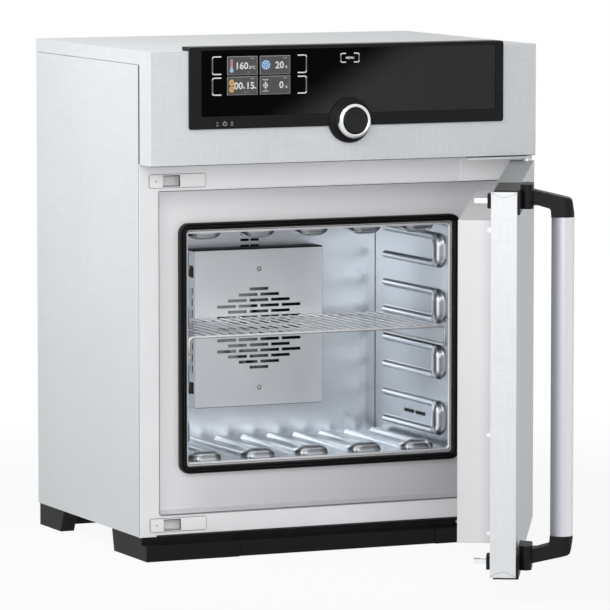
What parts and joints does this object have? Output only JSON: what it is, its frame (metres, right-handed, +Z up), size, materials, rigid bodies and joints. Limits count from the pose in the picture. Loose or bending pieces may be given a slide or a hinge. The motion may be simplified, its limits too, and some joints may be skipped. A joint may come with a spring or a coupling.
{
  "type": "hot air sterilizer",
  "caption": "Free-standing stainless cabinet with a heated, ribbed chamber, a wire shelf, a side-hinged insulated door with a bar handle and a control panel above.",
  "frame": {"origin": "middle of the whole part's footprint on the floor, with the door open as at rest", "axes": "+X to the right seen from the front, +Y towards the back, +Z up; the door opens towards -Y"},
  "size_m": [0.5889, 0.95, 0.7095],
  "materials": {
    "brushed_steel": "fine linen-textured stainless sheet",
    "smooth_steel": "smooth satin stainless sheet",
    "chrome": "polished",
    "steel_rod": "electropolished rod and turned parts",
    "black_plastic": "fine moulded grain",
    "black_gloss": "glossy",
    "display_glass": "polished black panel",
    "display": "lit display tiles",
    "rubber": "black silicone seal",
    "mineral_wool": "loose mat",
    "circuit_board": "green lacquer",
    "heater": "mica and foil",
    "motor": "black paint"
  },
  "bodies": {
    "housing": {"base_pan": "smooth_steel", "side_panel_left": "brushed_steel", "side_panel_right": "brushed_steel", "back_panel": "brushed_steel", "top_cover": "brushed_steel", "front_frame": "smooth_steel", "door_seat": "smooth_steel", "chamber": "smooth_steel", "chamber_gasket": "rubber", "air_baffle": "smooth_steel", "baffle_screws": "steel_rod", "motor_bracket": "smooth_steel", "fan_motor": "motor", "heaters": "heater", "insulation_sides": "mineral_wool", "insulation_top_bottom": "mineral_wool", "insulation_back": "mineral_wool", "temperature_sensor": "steel_rod", "vent_tube": "steel_rod", "vent_drive": "black_plastic", "electronics_tray": "smooth_steel", "power_board": "circuit_board", "control_board": "circuit_board", "mains_inlet": "black_plastic", "back_screws": "steel_rod", "control_panel": "brushed_steel", "display_housing": "black_plastic", "display_glass": "display_glass", "display_module": "display", "knob_encoder": "black_plastic", "foot_front_left": "black_plastic", "foot_front_right": "black_plastic", "plinth_middle": "black_plastic", "rear_plinth": "black_plastic", "strike_upper": "steel_rod", "strike_lower": "steel_rod", "hinge_bracket_upper": "smooth_steel", "hinge_bracket_lower": "smooth_steel", "hinge_pins": "steel_rod"},
    "fan": {"fan_wheel": "smooth_steel", "fan_shaft": "steel_rod"},
    "vent_flap": {"vent_flap": "smooth_steel"},
    "turn_knob": {"knob_ring": "chrome"},
    "confirm_button": {"knob_button": "black_gloss"},
    "power_key": {"power_key": "black_plastic"},
    "door": {"door_shell": "brushed_steel", "door_plug": "smooth_steel", "door_insulation": "mineral_wool", "plug_screws": "steel_rod", "hinge_bushes": "steel_rod", "corner_cover_upper": "black_plastic", "corner_cover_lower": "black_plastic", "handle_pins": "steel_rod", "latch_boxes": "black_plastic"},
    "handle": {"handle_arm_upper": "black_plastic", "handle_arm_lower": "black_plastic", "handle_tube": "steel_rod"},
    "hook_upper": {"latch_hook_upper": "steel_rod"},
    "hook_lower": {"latch_hook_lower": "steel_rod"},
    "shelf": {"shelf": "steel_rod"}
  },
  "joints": [
    {"name": "door_hinge", "type": "hinge", "parent": "housing", "child": "door", "pos_m": [0.284, 0.037, 0.2862], "axis": [0, 0, 1], "range_deg": [-61.4, 53.6]},
    {"name": "handle_swing", "type": "hinge", "parent": "door", "child": "handle", "pos_m": [0.04965, -0.43774, 0.2862], "axis": [0, 0, 1], "range_deg": [-15, 15]},
    {"name": "hook_upper_swing", "type": "hinge", "parent": "door", "child": "hook_upper", "pos_m": [0.02111, -0.42218, 0.5244], "axis": [0, 0, 1], "range_deg": [-12, 12]},
    {"name": "hook_lower_swing", "type": "hinge", "parent": "door", "child": "hook_lower", "pos_m": [0.02111, -0.42218, 0.048], "axis": [0, 0, 1], "range_deg": [-12, 12]},
    {"name": "shelf_slide", "type": "slide", "parent": "housing", "child": "shelf", "axis": [0, -1, 0], "range_m": [0, 0.075]},
    {"name": "knob_turn", "type": "hinge", "parent": "housing", "child": "turn_knob", "pos_m": [0.0035, 0.007, 0.6045], "axis": [0, -1, 0], "continuous": true},
    {"name": "confirm_press", "type": "slide", "parent": "turn_knob", "child": "confirm_button", "axis": [0, 1, 0], "range_m": [0, 0.0015], "stiffness_N_per_m": 600, "springref_m": -0.001},
    {"name": "power_press", "type": "slide", "parent": "housing", "child": "power_key", "axis": [0, 1, 0], "range_m": [0, 0.0008], "stiffness_N_per_m": 600, "springref_m": -0.001},
    {"name": "fan_spin", "type": "hinge", "parent": "housing", "child": "fan", "pos_m": [0, 0.346, 0.2862], "axis": [0, -1, 0], "continuous": true},
    {"name": "vent_flap_turn", "type": "hinge", "parent": "housing", "child": "vent_flap", "pos_m": [0, 0.452, 0.4112], "axis": [1, 0, 0], "range_deg": [0, 90]}
  ],
  "couplings": [
    {"joint": "hook_upper_swing", "follows": "handle_swing", "ratio": -0.8},
    {"joint": "hook_lower_swing", "follows": "handle_swing", "ratio": -0.8}
  ]
}
